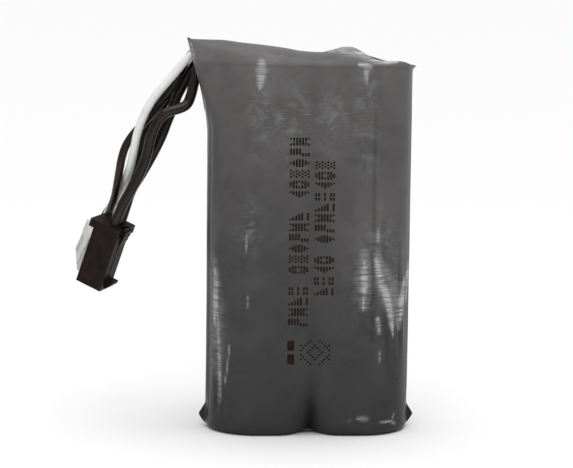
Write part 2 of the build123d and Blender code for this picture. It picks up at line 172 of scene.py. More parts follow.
def moulded(name, base, roughness, grain=9000, variation=0.25, depth=0.00001, **sockets):
    """Moulded or extruded plastic: fine surface grain, faint clouding, uneven gloss."""
    m = Nodes(name, base, roughness, **sockets)
    cloud = m.noise(700, 4)
    darker = tuple(c * (1 - variation) for c in base)
    lighter = tuple(min(1, c * (1 + variation) + 0.003) for c in base)
    m.link(m.ramp(cloud, (0.3, darker), (0.7, lighter)), m.shader.inputs["Base Color"])
    fine = m.noise(grain, 2)
    uneven_gloss = m.ramp(fine, (0.3, roughness * 0.8), (0.7, min(1, roughness * 1.2)))
    m.link(uneven_gloss, m.shader.inputs["Roughness"])
    m.bump(fine, 0.4, depth)
    return m.material


def metal(name, base, roughness, streaks=(200, 200, 6000), depth=0.000004):
    """Plated or rolled metal with drawn streaks and dull patches."""
    m = Nodes(name, base, roughness, metallic=1.0)
    drawn = m.noise(1.0, 4, m.stretched(streaks))
    patch = m.noise(500, 3)
    m.link(m.ramp(patch, (0.3, tuple(c * 0.82 for c in base)), (0.7, base)), m.shader.inputs["Base Color"])
    m.link(m.ramp(drawn, (0.3, roughness * 0.7), (0.75, roughness * 1.4)), m.shader.inputs["Roughness"])
    m.bump(drawn, 0.3, depth)
    return m.material


def fibrous(name, base, roughness=0.85):
    """Paper, card or foam: fibres and specks."""
    m = Nodes(name, base, roughness)
    fibre = m.noise(1.0, 5, m.stretched((9000, 1600, 5000)), 0.6)
    m.link(m.ramp(fibre, (0.3, tuple(c * 0.8 for c in base)), (0.7, base)), m.shader.inputs["Base Color"])
    m.bump(fibre, 0.5, 0.00002)
    return m.material


DARK_INK = (0.0125, 0.0050, 0.0042)
finishes = {
    "cell_steel": metal("drawn_steel", (0.62, 0.62, 0.63), 0.28),
    "gasket": moulded("gasket_plastic", (0.62, 0.61, 0.56), 0.5),
    "vent_metal": metal("vent_foil", (0.75, 0.75, 0.76), 0.3),
    "cap_metal": metal("plated_cap", (0.66, 0.65, 0.62), 0.25),
    "cell_roll": metal("wound_foil", (0.42, 0.36, 0.32), 0.45, (200, 200, 400)),
    "cell_sleeve": moulded("cell_sleeve_film", (0.10, 0.21, 0.25), 0.3, variation=0.1),
    "ring_paper": fibrous("ring_paper", (0.80, 0.79, 0.74)),
    "nickel": metal("rolled_nickel", (0.72, 0.70, 0.66), 0.3, (5000, 300, 300)),
    "insulator_paper": fibrous("fish_paper", (0.42, 0.40, 0.34)),
    "pad_foam": fibrous("pad_foam", (0.035, 0.034, 0.034), 0.95),
    "cover_card": fibrous("cover_card", (0.66, 0.62, 0.50)),
    "board_laminate": moulded("board_mask", (0.010, 0.070, 0.032), 0.3, 4000, 0.2),
    "chip_black": moulded("chip_epoxy", (0.012, 0.012, 0.012), 0.55),
    "tinned_legs": metal("tinned_legs", (0.80, 0.80, 0.80), 0.25),
    "resistor_body": moulded("thick_film", (0.012, 0.012, 0.014), 0.35),
    "capacitor_body": moulded("fired_ceramic", (0.33, 0.19, 0.10), 0.5),
    "solder": metal("solder", (0.76, 0.76, 0.78), 0.2, (900, 900, 900)),
    "hot_melt": moulded("hot_melt", (0.74, 0.70, 0.56), 0.35, Transmission_Weight=0.3),
    "copper": metal("tinned_copper", (0.72, 0.44, 0.32), 0.3, (7000, 900, 900)),
    "contact_metal": metal("contact_strip", (0.78, 0.70, 0.48), 0.28),
    "plug_dark": moulded("plug_nylon_dark", (0.0110, 0.0055, 0.0046), 0.45, 6000, 0.3, 0.000012,
                         Specular_IOR_Level=0.10),
    "plug_light": moulded("plug_nylon_light", (0.56, 0.56, 0.55), 0.45, 6000, 0.06, 0.000012),
    "lead_dark": moulded("lead_rubber_dark", (0.0100, 0.0052, 0.0044), 0.27, 5000, 0.3, 0.000008,
                         Specular_IOR_Level=0.32),
    "lead_light": moulded("lead_rubber_light", (0.76, 0.77, 0.76), 0.36, 5000, 0.05, 0.000008),
}
for entry in frame["record"]["subparts"]:
    finish = finishes.get(entry["material_slot"])
    if finish is not None:
        mesh = nodes[entry["node"]].data
        mesh.materials.clear()
        mesh.materials.append(finish)
for name in ("discharge_housing", "plug_latch", "balance_housing"):
    joined = nodes[name].modifiers.new("joined", "WELD")
    joined.merge_threshold = 0.005 * MM
    eased = nodes[name].modifiers.new("eased_edges", "BEVEL")
    eased.width = 0.1 * MM
    eased.segments = 2
    eased.limit_method = "ANGLE"
    eased.angle_limit = math.radians(35)


def new_object(name, mesh, material, body="pack"):
    """Link a finished mesh or curve, give it its finish and let it ride on its body."""
    thing = bpy.data.objects.new(name, mesh)
    scene.collection.objects.link(thing)
    mesh.materials.append(material)
    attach(thing, body)
    return thing


# ---- leads ---------------------------------------------------------------------------------
def unit(v):
    return Vector(v).normalized()


class Plug:
    """A plug's own axes, as in the CAD: z runs from its mating face to the leads."""

    def __init__(self, origin, x_dir, z_dir):
        self.origin = Vector(origin)
        self.z = unit(z_dir)
        self.x = unit(Vector(x_dir) - self.z * Vector(x_dir).dot(self.z))
        self.y = self.z.cross(self.x)

    def point(self, x, y, z):
        return tuple(self.origin + self.x * x + self.y * y + self.z * z)


DISCHARGE = Plug((-36.6, 1.47, 25.43), (0.843, -0.401, -0.36), (0.301, -0.204, 0.932))
BALANCE = Plug((-41.0, 12.85, 28.3), (0.055, -0.946, -0.318), (0.373, -0.276, 0.886))
THICK, THIN = 1.9, 1.5
THICK_Z, THIN_Z = 68.6, 68.4

LEADS = {
    "discharge_lead_front": (THICK, "lead_dark", [
        (-13.0, -3.4, THICK_Z), (-14.7, -2.3, 69.0), (-16.4, -0.8, 69.1), (-18.0, 0.3, 68.8),
        (-19.8, 0.55, 67.7), (-20.6, 0.5, 65.7), (-21.1, 0.3, 63.4), (-21.6, -0.1, 61.2),
        (-22.3, -0.6, 59.4), (-23.9, -1.0, 58.7), (-26.0, -1.2, 58.2), (-27.6, -1.2, 56.8),
        (-28.6, -1.2, 54.6), (-29.2, -1.1, 52.3), (-29.7, -1.1, 49.8), (-30.7, -1.2, 47.2),
        (-32.0, -1.4, 44.7), DISCHARGE.point(-2.3, -1.25, 15.0), DISCHARGE.point(-2.3, -1.25, 10.6),
    ]),
    "discharge_lead_back": (THICK, "lead_dark", [
        (-13.0, 1.0, THICK_Z), (-14.8, 1.5, 68.9), (-16.6, 2.1, 69.0), (-18.4, 2.7, 68.6),
        (-20.2, 3.0, 67.4), (-21.6, 3.3, 65.4), (-22.8, 3.2, 63.2), (-24.15, 3.1, 60.8),
        (-24.9, 2.7, 58.5), (-25.9, 2.2, 56.2), (-26.8, 1.8, 53.7), (-28.0, 1.6, 51.2),
        (-29.4, 1.4, 48.6), (-30.9, 1.2, 46.0), (-32.5, 1.1, 43.6),
        DISCHARGE.point(-2.3, 1.25, 14.6), DISCHARGE.point(-2.3, 1.25, 10.6),
    ]),
    "balance_lead_light": (THIN, "lead_light", [
        (-13.0, -1.1, THIN_Z), (-14.7, -0.2, 69.8), (-16.5, 0.75, 70.35), (-18.5, 1.2, 70.25),
        (-20.6, 1.3, 69.2), (-22.6, 1.0, 67.5), (-24.3, 0.8, 65.4), (-26.1, 0.5, 63.3),
        (-27.8, 0.1, 61.4), (-29.3, -0.2, 59.2), (-30.5, -0.3, 56.7), (-31.4, -0.2, 54.1),
        (-31.9, 0.1, 51.4), (-32.4, 0.8, 48.6), (-33.2, 2.2, 46.0), (-34.2, 4.4, 43.6),
        (-35.4, 6.4, 41.4), (-36.5, 8.6, 39.1), BALANCE.point(0.0, 0, 9.0), BALANCE.point(0.0, 0, 5.6),
    ]),
    "balance_lead_dark": (THIN, "lead_dark", [
        (-13.0, 3.0, THIN_Z), (-14.7, 3.2, 69.8), (-16.5, 3.4, 70.3), (-18.5, 3.6, 70.2),
        (-20.6, 3.3, 69.4), (-22.4, 2.6, 67.6), (-23.8, 2.2, 64.7), (-25.2, 1.8, 62.1),
        (-27.0, 1.6, 59.9), (-28.7, 1.6, 57.6), (-30.5, 1.7, 55.6), (-32.2, 1.6, 53.7),
        (-33.5, 1.4, 51.7), (-34.2, 1.2, 49.4), (-34.6, 1.4, 46.9), (-35.0, 2.25, 44.4),
        (-35.4, 3.9, 41.9), (-36.3, 5.8, 39.4), BALANCE.point(2.0, 0, 9.0), BALANCE.point(2.0, 0, 5.6),
    ]),
    "balance_lead_hidden": (THIN, "lead_dark", [
        (-13.0, 4.4, THIN_Z), (-14.8, 4.8, 68.8), (-16.6, 4.9, 69.0), (-18.5, 5.1, 68.4),
        (-20.3, 5.1, 67.2), (-21.8, 5.2, 65.3), (-23.5, 5.1, 63.0), (-25.2, 4.9, 60.7),
        (-27.0, 4.6, 58.4), (-28.7, 4.3, 56.2), (-29.9, 4.2, 53.8), (-30.7, 4.3, 51.2),
        (-31.4, 4.8, 48.6), (-32.3, 5.8, 46.1), (-33.5, 7.3, 43.8), (-34.9, 9.1, 41.4),
        (-36.4, 10.8, 39.2), BALANCE.point(-2.0, 0, 9.0), BALANCE.point(-2.0, 0, 5.6),
    ]),
}

for name, (diameter, slot_name, route) in LEADS.items():
    curve = bpy.data.curves.new(name + "_run", "CURVE")
    curve.dimensions = "3D"
    spline = curve.splines.new("NURBS")
    spline.points.add(len(route) - 1)
    for point, place in zip(spline.points, route):
        point.co = (*(Vector(place) * MM), 1)
    spline.order_u = 3
    spline.use_endpoint_u = True
    spline.resolution_u = 8
    curve.bevel_depth = diameter / 2 * MM
    curve.bevel_resolution = 7
    curve.use_fill_caps = True
    run = new_object(name + "_run", curve, finishes[slot_name])
    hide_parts(name)


# ---- shrink film ---------------------------------------------------------------------------
FILM_R = 9.4
HALF_PITCH = 9.2
ROUND_END = HALF_PITCH + math.pi * FILM_R            # arc length where the back flat starts
HALF_GIRTH = ROUND_END + HALF_PITCH
SIDE = HALF_PITCH + math.pi / 2 * FILM_R             # arc length of the side's middle
BASE_FILLET = 1.3
FOOT_LIP = 3.4                                       # how far the foot runs in under the cells
WALL_TOP = 67.1
FILM_T = 0.2

# Where each column of the film ends: (arc length from the front's middle; x, y, z of its cut
# edge; height where the upright wall turns into the mouth).
EDGE = np.array([
    (-47.93, 0.0, 2.6, 68.9, 67.1), (-43.0, -5.0, 2.6, 69.6, 67.1), (-38.7, -9.2, 2.8, 70.15, 67.1),
    (-34.5, -13.3, 4.6, 70.1, 67.1), (-31.5, -16.0, 6.5, 68.2, 65.6), (-29.2, -17.5, 5.4, 64.0, 61.5),
    (-27.0, -18.4, 3.2, 60.3, 57.8), (-25.4, -18.75, 1.2, 58.4, 55.9), (-24.9, -18.95, 0.3, 58.3, 55.8),
    (-24.65, -19.3, -0.6, 60.2, 57.7), (-24.45, -19.85, -1.3, 62.7, 60.2),
    (-24.25, -20.65, -1.45, 65.6, 63.1),
    (-24.1, -21.75, -1.35, 68.8, 66.3), (-24.0, -22.4, -1.2, 71.5, 67.1), (-22.0, -20.9, -1.25, 71.4, 67.1),
    (-19.0, -18.6, -1.3, 71.35, 67.1), (-16.0, -16.2, -1.3, 71.3, 67.1), (-12.0, -12.6, -0.9, 70.85, 67.1),
    (-8.3, -8.4, 0.3, 70.35, 67.1), (-4.0, -4.1, 0.7, 69.75, 67.1), (-1.9, -1.9, 0.8, 69.35, 67.1),
    (1.7, 1.7, 0.7, 69.1, 67.1), (4.0, 4.0, 0.6, 69.6, 67.1), (6.2, 6.2, 0.4, 70.15, 67.1),
    (7.6, 7.4, 0.2, 70.15, 67.1), (9.0, 8.9, -0.2, 69.6, 67.1), (11.2, 11.0, -2.8, 68.3, 67.1),
    (13.2, 12.8, -4.4, 67.9, 67.0), (16.0, 14.9, -4.4, 67.85, 66.8), (20.0, 17.6, -3.2, 67.35, 66.1),
    (24.0, 19.2, -0.3, 66.6, 65.2), (28.0, 17.6, 3.2, 66.9, 65.4), (32.0, 14.3, 5.0, 67.3, 66.0),
    (38.7, 8.8, 2.9, 68.7, 67.0), (43.0, 5.0, 2.6, 68.9, 67.1), (47.93, 0.0, 2.6, 68.9, 67.1),
])


def smooth(low, high, value):
    t = np.clip((value - low) / (high - low), 0, 1)
    return t * t * (3 - 2 * t)


def bell(value, middle, width):
    return np.exp(-((value - middle) / width) ** 2)


def edge_at(s):
    """The row of EDGE at each arc length, eased between its points without overshoot."""
    steps = np.diff(EDGE[:, 1:], axis=0)
    one, two = steps[:-1], steps[1:]
    turn = np.where(one * two > 0, 2 * one * two / (one + two + 1e-12), 0)
    slopes = np.vstack([steps[:1], turn, steps[-1:]])
    place = np.searchsorted(EDGE[:, 0], s, side="right").clip(1, len(EDGE) - 1)
    before, after = EDGE[place - 1], EDGE[place]
    t = ((s - before[:, 0]) / (after[:, 0] - before[:, 0]))[:, None]
    return ((2 * t ** 3 - 3 * t ** 2 + 1) * before[:, 1:] + (t ** 3 - 2 * t ** 2 + t) * slopes[place - 1]
            + (-2 * t ** 3 + 3 * t ** 2) * after[:, 1:] + (t ** 3 - t ** 2) * slopes[place])


def outline(s, radius):
    """Point and outward direction on the outline round both cells."""
    a = np.clip((np.abs(s) - HALF_PITCH) / FILM_R, 0, math.pi)
    side = np.where(s < 0, -1.0, 1.0)
    flat_x = np.where(np.abs(s) <= HALF_PITCH, np.abs(s), HALF_PITCH)
    flat_x = np.where(np.abs(s) > ROUND_END, HALF_GIRTH - np.abs(s), flat_x)
    nx, ny = side * np.sin(a), -np.cos(a)
    return side * flat_x + nx * radius, ny * radius, nx, ny


def ripple(x, z, seed):
    """Gentle unevenness made of a few fixed waves."""
    random = np.random.default_rng(seed)
    total = np.zeros_like(x)
    for k in range(7):
        length = 3.0 * 1.5 ** k
        direction = random.uniform(0, math.pi)
        phase = random.uniform(0, 2 * math.pi)
        along = x * math.cos(direction) + z * math.sin(direction)
        total += math.sqrt(length / 30) * np.sin(2 * math.pi * along / length + phase)
    return total / 3


# Vertical creases in the wall: (arc length at the foot, lean of s per mm of z, z low, z high,
# width, depth). A negative depth is a groove.
CREASES = [
    (-17.9, -0.010, 4, 27, 0.45, -0.20), (-18.9, 0.012, 8, 44, 0.60, 0.16), (-20.9, 0.0, 2, 60, 0.7, -0.12),
    (-15.3, -0.055, 4, 20, 0.30, 0.10), (-12.6, 0.010, 20, 38, 0.30, -0.06), (-22.4, 0.0, 6, 40, 0.5, 0.10),
    (11.2, 0.0, 18, 60, 0.28, -0.20), (12.4, 0.0, 12, 46, 0.55, 0.12), (15.2, -0.060, 14, 40, 0.50, -0.14),
    (18.0, -0.030, 16, 34, 0.45, -0.22), (19.4, -0.050, 16, 36, 0.60, 0.16), (13.4, 0.0, 8, 22, 0.30, 0.10),
    (21.6, 0.0, 6, 62, 0.60, 0.10), (22.6, 0.0, 3, 58, 0.40, -0.10),
]


def crease_relief(s, z):
    """How far the creases alone stand out of the wall."""
    relief = np.zeros(np.broadcast(s, z).shape)
    for foot, lean, low, high, width, depth in CREASES:
        ends = smooth(low - 3, low + 3, z) * (1 - smooth(high - 5, high + 3, z))
        relief = relief + depth * ends * bell(s, foot + lean * z, width)
    return relief


def wall_relief(s, z):
    """How far the wall stands out from the plain outline."""
    relief = 0.035 * ripple(s, z * 0.6, 3) + crease_relief(s, z)
    # slack between the cells, deepest at the front's foot
    for middle, depth in ((0.0, 3.1), (-HALF_GIRTH, 0.7), (HALF_GIRTH, 0.7)):
        pull = 1 - smooth(0.0, 7.5, z)
        relief = relief - depth * pull ** 1.5 * bell(s, middle, 2.7)
        relief = relief - 0.18 * bell(s, middle, 5.5)
    # folds pinched into an ear at each side of the foot
    tooth = np.clip(1 - np.abs(z - 2.35) / 2.1, 0, 1)
    for middle in (-SIDE, SIDE):
        relief = relief + tooth * (1.05 * bell(s, middle, 0.30) + 0.22 * bell(s, middle, 1.3))
        beside = bell(s, middle - 1.6, 0.7) + bell(s, middle + 1.6, 0.7)
        relief = relief - 0.28 * bell(z, 3.0, 2.2) * beside
    # only the valleys have room behind the film: elsewhere the cells' sleeves hold it out
    room = 0.17 + 3.5 * (bell(s, 0, 4.0) + bell(s, -HALF_GIRTH, 4.0) + bell(s, HALF_GIRTH, 4.0))
    return np.maximum(relief, -room)


FLARE_Z = np.array([50.0, 55.4, 60.65, 65.5, 69.0, 71.5])
FLARE_OUT = np.array([0.0, 0.03, 0.80, 2.0, 3.3, 3.8])
FLARE_FORWARD = np.array([0.0, 0.25, 1.1, 1.45, 1.35, 1.2])


def film_point(s, v):
    """Film surface at arc length s and row v: -1 to 0 is the foot, 0 to 1 the wall, 1 to 2 the mouth."""
    s, v = np.broadcast_arrays(np.asarray(s, float), np.asarray(v, float))
    edge = edge_at(s.ravel()).reshape(*s.shape, 4)
    top = edge[..., 3]
    foot = np.clip(-v, 0, 1)
    wall = np.clip(v, 0, 1)
    mouth = np.clip(v - 1, 0, 1)
    z = BASE_FILLET + (top - BASE_FILLET) * wall
    # the foot turns in on an arc and then lies flat as a lip
    arc = np.clip(foot / 0.4, 0, 1) * math.pi / 2
    flat = np.clip((foot - 0.4) / 0.6, 0, 1)
    x0 = outline(s, FILM_R)[0]
    seam = bell(x0, 0.0, 2.2)
    lip = FOOT_LIP + 0.35 * np.sin(s * 1.1) + 0.2 * np.sin(s * 2.7 + 1)
    lip = lip + (FILM_R - BASE_FILLET - FOOT_LIP - 0.1) * seam
    inward = BASE_FILLET * (1 - np.cos(arc)) + flat * lip
    z = np.where(v < 0, BASE_FILLET * (1 - np.sin(arc)) + 0.06 * flat * (1 - seam) + 0.05, z)
    relief = wall_relief(s, z) * np.where(v < 0, 1 - 0.75 * flat, 1.0) * (1 - 0.7 * mouth)
    x, y, nx, ny = outline(s, FILM_R - inward + relief)
    # lift of the foot between the cells
    z = z + np.where(z < 4, 0.45 * bell(x, 0, 3.0) * (1 - z / 4), 0)
    # the left front flares out towards the flap
    share = np.where(s < 0, smooth(-11.0, -23.6, s) * (1 - smooth(-24.6, -27.0, s)), 0)
    x = x - share * np.interp(z, FLARE_Z, FLARE_OUT)
    y = y - share ** 3 * np.interp(z, FLARE_Z, FLARE_FORWARD)
    # the mouth leaves the wall upright and leans in to its edge
    soft = smooth(-5.0, -15.0, s)
    lean = mouth ** (1.45 + 0.6 * soft)
    rise = 1 - (1 - mouth) ** (2.8 - 0.7 * soft)
    roll = 0.35 * smooth(9.5, 13.5, s) * (1 - smooth(17.5, 22.0, s))
    x = x + (edge[..., 0] - x) * lean
    y = y + (edge[..., 1] - y) * lean
    z = z + (edge[..., 2] - z) * rise + roll * np.sin(math.pi * mouth ** 0.7)
    return np.stack([x, y, z], axis=-1)


def column_places():
    """Arc lengths of the columns, closer together at the two sides where the ears and flap are."""
    spots = [-HALF_GIRTH]
    while spots[-1] < HALF_GIRTH - 0.2:
        near = min(abs(spots[-1] - SIDE), abs(spots[-1] + SIDE + 0.4))
        spots.append(spots[-1] + 0.07 + 0.29 * float(smooth(0.8, 2.4, near)))
    return np.array(spots[:-1])


# Painted highlights, where light glints off the film, drawn as pale grey broken into fine ribs:
# (strength, [(arc length, z, half width), ...]) along each one.
PAINTED_HIGHLIGHTS = [
    (0.9, [(-9.4, 67.7, 0.6), (-9.3, 66.4, 0.8), (-9.4, 65.0, 0.6), (-9.6, 63.0, 0.2)]),
    (0.9, [(8.2, 67.6, 0.3), (9.6, 67.5, 0.35), (10.2, 67.2, 0.2)]),
    (0.6, [(9.6, 67.4, 0.5), (9.3, 66.0, 0.35), (9.5, 64.4, 0.2)]),
    (0.8, [(-18.7, 30.2, 0.2), (-18.4, 27.6, 0.75), (-18.5, 24.0, 0.7), (-18.7, 19.6, 0.2)]),
    (0.65, [(-17.9, 24.0, 0.1), (-17.8, 19.5, 0.45), (-17.4, 14.0, 0.5),
            (-17.1, 10.0, 0.35), (-16.9, 6.0, 0.12)]),
    (0.6, [(-14.9, 16.5, 0.08), (-15.3, 12.5, 0.18), (-15.8, 9.2, 0.06)]),
    (0.5, [(-11.6, 37.2, 0.08), (-11.8, 35.0, 0.2), (-11.9, 33.0, 0.06)]),
    (0.45, [(-11.4, 26.0, 0.06), (-11.5, 24.8, 0.16), (-11.4, 23.6, 0.06)]),
    (0.95, [(9.5, 32.3, 0.15), (9.6, 30.0, 0.65), (9.6, 27.5, 0.6), (9.6, 25.6, 0.3), (9.5, 23.5, 0.15)]),
    (1.0, [(11.8, 32.6, 0.2), (12.2, 30.4, 0.55), (13.0, 28.0, 0.8), (14.0, 25.8, 0.8), (14.9, 23.0, 0.65),
            (15.3, 20.6, 0.5), (15.7, 18.2, 0.12)]),
    (0.95, [(19.0, 28.8, 0.15), (18.6, 27.2, 0.7), (18.1, 24.8, 0.85),
            (17.9, 22.6, 0.5), (17.6, 20.4, 0.15)]),
    (0.85, [(20.8, 31.0, 0.3), (20.5, 28.8, 0.9), (20.2, 26.4, 0.45), (20.0, 23.8, 0.15)]),
    (0.6, [(11.9, 38.2, 0.12), (12.0, 36.8, 0.25), (12.1, 35.6, 0.1)]),
    (0.7, [(12.2, 21.8, 0.3), (12.4, 20.4, 0.35), (12.6, 18.8, 0.15)]),
    (0.6, [(12.6, 15.6, 0.16), (12.7, 14.4, 0.22), (12.9, 13.4, 0.08)]),
    (0.7, [(12.3, 2.7, 0.08), (14.0, 2.5, 0.14), (15.6, 2.4, 0.2), (16.9, 1.7, 0.12)]),
    (0.7, [(16.4, 3.9, 0.08), (15.9, 3.0, 0.14), (15.8, 2.2, 0.12)]),
    (0.45, [(8.9, 3.4, 0.3), (9.9, 3.3, 0.4), (10.6, 3.2, 0.3)]),
    (0.4, [(7.4, 3.0, 0.1), (7.6, 2.7, 0.1)]),
    (1.0, [(7.6, 69.7, 0.2), (9.4, 69.2, 0.7), (11.2, 68.7, 0.8), (13.5, 68.1, 0.4), (16.0, 67.9, 0.15)]),
    (0.55, [(3.0, 69.6, 0.3), (6.0, 70.0, 0.7), (8.5, 69.8, 0.9), (10.5, 69.0, 0.8)]),
    (0.35, [(12.0, 33.0, 0.6), (13.4, 29.0, 1.6), (15.4, 25.5, 2.4), (16.8, 22.5, 1.6), (17.4, 19.5, 0.5)]),
    (0.30, [(9.5, 34.0, 0.6), (9.6, 29.0, 1.4), (9.6, 24.0, 0.8)]),
    (0.18, [(-18.9, 32.0, 0.7), (-18.4, 26.0, 1.4), (-17.8, 16.0, 1.2), (-17.2, 6.0, 0.5)]),
    (0.85, [(-23.9, 70.2, 0.5), (-23.5, 69.3, 0.45), (-22.8, 68.2, 0.15)]),
]
# Areas with fine level scratches and pale haze: (arc length, z, half width, half height).
SCRATCHED = [
    (-9.2, 61.0, 2.2, 9.0), (9.6, 59.0, 2.2, 10.0), (-4.0, 57.0, 4.0, 6.0), (3.0, 58.0, 3.0, 5.0),
    (12.5, 31.0, 4.5, 9.0), (-18.5, 20.0, 2.5, 12.0), (-11.0, 38.0, 2.0, 5.0),
]


def painted_highlight_amount(s, z):
    """How strongly the film's colour is lifted by painted highlights, from their list."""
    amount = np.zeros_like(s)
    for strength, line in PAINTED_HIGHLIGHTS:
        for (s0, z0, w0), (s1, z1, w1) in zip(line, line[1:]):
            ds, dz = s1 - s0, z1 - z0
            t = np.clip(((s - s0) * ds + (z - z0) * dz) / (ds ** 2 + dz ** 2), 0, 1)
            distance = np.hypot(s - s0 - t * ds, z - z0 - t * dz)
            width = w0 + t * (w1 - w0)
            amount = np.maximum(amount, strength * (1 - smooth(0.35, 1.7, distance / width)))
    return amount


# Painted shade by height: the film's grey, as a share of the palest, at these heights, darker towards the
# foot where less light falls from above.
PAINTED_SHADE_Z = np.array([0.0, 4.0, 12.0, 22.0, 32.0, 42.0, 52.0, 62.0, 68.0])
PAINTED_SHADE_SHARE = np.array([0.34, 0.40, 0.45, 0.53, 0.61, 0.70, 0.83, 0.94, 1.04])

FOOT_ROWS, WALL_ROWS, MOUTH_ROWS = 13, 165, 20
columns = column_places()
rows = np.concatenate([np.linspace(-1, 0, FOOT_ROWS)[:-1], np.linspace(0, 1, WALL_ROWS)[:-1],
                       1 + np.linspace(0, 1, MOUTH_ROWS) ** 1.15])
grid = film_point(columns[None, :], rows[:, None])
count = len(columns)
faces = []
for i in range(len(rows) - 1):
    for j in range(count):
        k = (j + 1) % count
        faces.append((i * count + j, i * count + k, (i + 1) * count + k, (i + 1) * count + j))
film_mesh = bpy.data.meshes.new("film")
film_mesh.from_pydata((grid.reshape(-1, 3) * MM).tolist(), [], faces)
film_mesh.update()
for polygon in film_mesh.polygons:
    polygon.use_smooth = True
heights = grid[..., 2]
arcs = np.broadcast_to(columns[None, :], heights.shape)
# painted highlights on the film, as a share at each point, kept in a point attribute
painted_highlights = painted_highlight_amount(arcs, heights)
# painted highlight on the flap's cut edge, where it curls and catches the light
edge_near = (bell(columns, -24.2, 0.35)[None, :] * smooth(63.5, 66.5, heights)
             * (1 - smooth(69.0, 71.0, heights)))
painted_highlights = np.maximum(painted_highlights, 0.9 * edge_near)
layer = film_mesh.attributes.new("painted_highlight", "FLOAT", "POINT")
layer.data.foreach_set("value", painted_highlights.astype(np.float32).ravel())

scratched = np.zeros_like(painted_highlights)
for at, height, half_width, half_height in SCRATCHED:
    area = bell(columns, at, half_width)[None, :] * bell(heights, height, half_height)
    scratched = np.maximum(scratched, area)
layer = film_mesh.attributes.new("scratched", "FLOAT", "POINT")
layer.data.foreach_set("value", scratched.astype(np.float32).ravel())

# painted light and shade, as a multiplier on the film's grey, starting from the painted height gradient
painted_shading = np.interp(heights, PAINTED_SHADE_Z, PAINTED_SHADE_SHARE)
# painted shade in the creases' grooves and painted highlight on their ridges
painted_shading = painted_shading * np.clip(1 + 1.5 * crease_relief(arcs, heights), 0.5, 1.3)
# painted highlight: a broad pale patch across the right cell's front at mid height
painted_shading = painted_shading * (1 + 0.45 * smooth(1, 13, grid[..., 0]) * bell(heights, 37, 9))
# painted shade where the film turns away at each side and at the right side's foot, and down the valley
# between the cells
turned = bell(columns, -23.0, 2.3)[None, :]
painted_shading = painted_shading * (1 - 0.62 * turned * smooth(28, 36, heights) * (1 - smooth(48, 58, heights)))
painted_shading = painted_shading * (1 - 0.35 * turned * (1 - smooth(10, 30, heights)))
painted_shading = painted_shading * (1 - 0.45 * bell(columns, 22.8, 2.2)[None, :] * (1 - smooth(16, 24, heights)))
painted_shading = painted_shading * (1 - (0.10 + 0.75 * (1 - smooth(3, 12, heights))) * bell(columns, 0.3, 1.3)[None, :])
# painted shade and light at the rim: a fine dark line where the wall turns over, and a paler mouth, which
# faces up to the light
above_rim = heights - edge_at(columns)[None, :, 3]
painted_shading = painted_shading * (1 + 0.10 * smooth(0.1, 0.9, above_rim) - 0.16 * bell(above_rim, 0.15, 0.16))
# the painted light and shade, kept in a point attribute
layer = film_mesh.attributes.new("painted_shading", "FLOAT", "POINT")
layer.data.foreach_set("value", painted_shading.astype(np.float32).ravel())

film_look = Nodes("shrink_film_grey", (0.10, 0.096, 0.095), 0.33, Specular_IOR_Level=0.08)
painted_highlight = film_look.attribute("painted_highlight")
cloud = film_look.noise(140, 6, None, 0.8)
base_grey = film_look.ramp(cloud, (0.30, (0.096, 0.093, 0.092)), (0.72, (0.130, 0.126, 0.125)))
# the film's grey multiplied by the painted light and shade
painted_shaded_grey = film_look.mix(1.0, base_grey, film_look.attribute_colour("painted_shading"), "MULTIPLY")
ribs = film_look.noise(1.0, 3, film_look.stretched((260, 260, 4200)))
rib_mask = film_look.ramp(ribs, (0.36, 0.2), (0.62, 1.0))
# painted highlights: the film's grey mixed towards pale grey where the highlight attribute and the ribs
# fall
highlighted_grey = film_look.mix(film_look.maths("MULTIPLY", painted_highlight, film_look.maths("MULTIPLY", rib_mask, 0.9)),
                         painted_shaded_grey, (0.56, 0.56, 0.56))
level_lines = film_look.noise(1.0, 2, film_look.stretched((420, 420, 9000)))
lines = film_look.ramp(level_lines, (0.64, 0.0), (0.72, 1.0))
lined = film_look.mix(film_look.maths("MULTIPLY", film_look.attribute("scratched"),
                                      film_look.maths("MULTIPLY", lines, 0.5)),
                      highlighted_grey, (0.45, 0.45, 0.45))
blotches = film_look.ramp(film_look.noise(330, 7, None, 1.2), (0.50, 0.0), (0.78, 1.0))
hazed = film_look.mix(film_look.maths("MULTIPLY", film_look.attribute("scratched"),
                                      film_look.maths("MULTIPLY", blotches, 0.35)),
                      lined, (0.40, 0.40, 0.40))
film_look.link(hazed, film_look.shader.inputs["Base Color"])
scratches = film_look.noise(1.0, 2, film_look.stretched((170, 170, 7000)))
film_look.link(film_look.ramp(cloud, (0.3, 0.24), (0.7, 0.36)), film_look.shader.inputs["Roughness"])
film_look.bump(scratches, 0.35, 0.000012)
film = new_object("film", film_mesh, film_look.material)
thickness = film.modifiers.new("thickness", "SOLIDIFY")
thickness.thickness = FILM_T * MM
thickness.offset = -1
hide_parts("film_wrap")

# ---- printed marks -------------------------------------------------------------------------
# Generic marks on a 5 by 7 grid of ink dots, read from top to bottom like the columns they fill.
GLYPHS = [
    ("#.#.#", ".#.#.", "#.#.#", ".#.#.", "#.#.#", ".#.#.", "#.#.#"),
    ("..#..", ".###.", "#####", "#####", "#####", ".###.", "..#.."),
    ("####.", "####.", "####.", "####.", "...##", "...##", "...##"),
    ("#...#", "##.##", "#####", "#####", "#####", "##.##", "#...#"),
    ("....#", "...##", "..###", ".####", "#####", ".....", "#####"),
    ("##.##", "##.##", ".....", "##.##", ".....", "##.##", "##.##"),
    ("#....", "##...", "###..", "####.", "###..", "##...", "#...."),
    (".###.", "#####", "##.##", "#...#", "##.##", "#####", ".###."),
]
DOT_R = 0.215
INK_LIFT = 0.035


